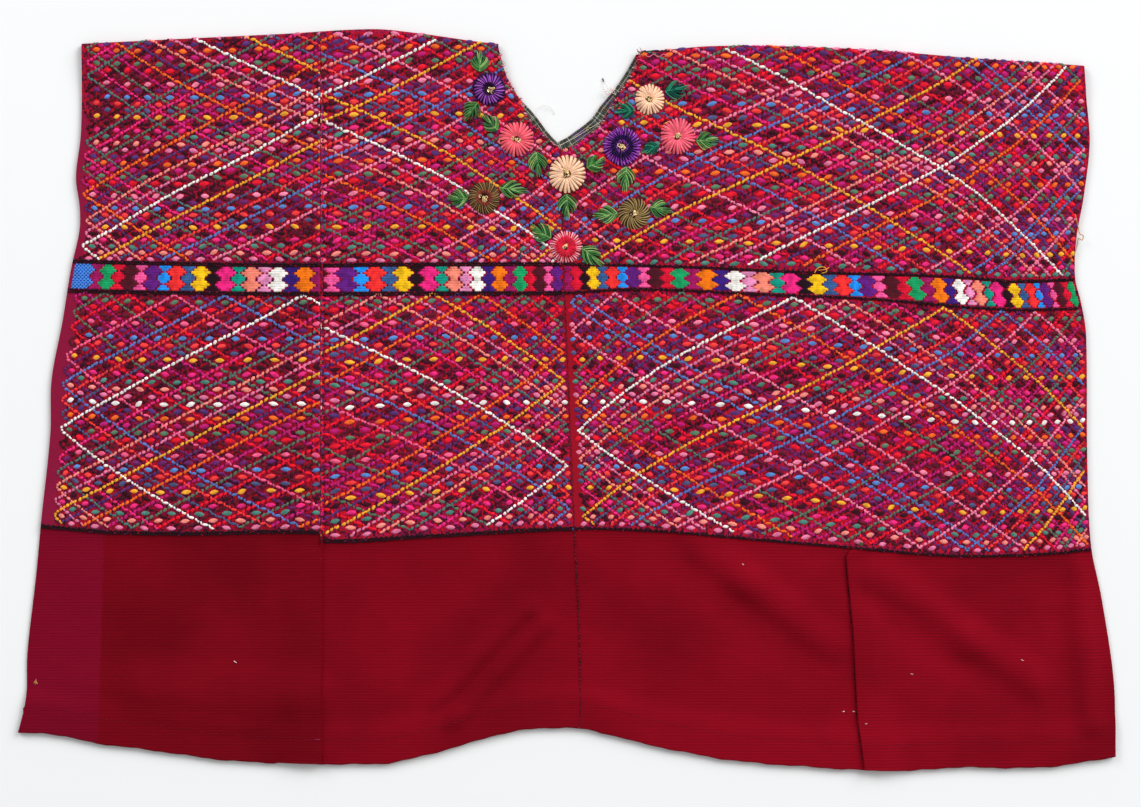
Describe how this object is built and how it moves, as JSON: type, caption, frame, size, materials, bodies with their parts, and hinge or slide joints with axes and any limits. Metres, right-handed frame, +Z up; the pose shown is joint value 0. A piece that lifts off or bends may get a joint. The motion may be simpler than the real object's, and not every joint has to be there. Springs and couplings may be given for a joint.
{
  "type": "huipil blouse",
  "caption": "Boxy brocaded blouse laid flat, folded at the shoulders, with a V neck ringed by wrapped rosettes and leaves, plain cloth below the brocade and a folded hem.",
  "frame": {"origin": "middle of the garment's box, on the surface it lies on", "axes": "+X across the blouse towards the viewer's right, +Y towards the shoulders, +Z up from the surface, front upwards"},
  "size_m": [0.9, 0.6079, 0.0084],
  "materials": {
    "brocade": "thick supplementary-weft brocade in many colours over deep red cloth",
    "plain_cloth": "matt hand-woven plain cotton with fine horizontal ribs",
    "facing": "dark grey-green woven strip",
    "thread_violet": "wrapped embroidery thread",
    "thread_coral": "wrapped embroidery thread",
    "thread_peach": "wrapped embroidery thread",
    "thread_olive": "wrapped embroidery thread",
    "thread_rose": "wrapped embroidery thread",
    "leaf_thread": "straight stitches of shiny thread"
  },
  "bodies": {
    "root": {"panel_left": "brocade", "panel_right": "brocade", "hem_back_left": "plain_cloth", "hem_back_right": "plain_cloth", "hem_front_left": "plain_cloth", "hem_front_right": "plain_cloth", "neck_facing": "facing", "rosette_violet_upper": "thread_violet", "rosette_coral_left": "thread_coral", "rosette_peach_centre": "thread_peach", "rosette_olive_left": "thread_olive", "rosette_rose_low": "thread_rose", "rosette_peach_right": "thread_peach", "rosette_violet_lower": "thread_violet", "rosette_coral_right": "thread_coral", "rosette_olive_right": "thread_olive", "leaf_01": "leaf_thread", "leaf_02": "leaf_thread", "leaf_03": "leaf_thread", "leaf_04": "leaf_thread", "leaf_05": "leaf_thread", "leaf_06": "leaf_thread", "leaf_07": "leaf_thread", "leaf_08": "leaf_thread", "leaf_09": "leaf_thread", "leaf_10": "leaf_thread", "leaf_11": "leaf_thread", "leaf_12": "leaf_thread", "leaf_13": "leaf_thread", "leaf_14": "leaf_thread", "leaf_15": "leaf_thread", "leaf_16": "leaf_thread", "leaf_17": "leaf_thread"}
  },
  "joints": []
}
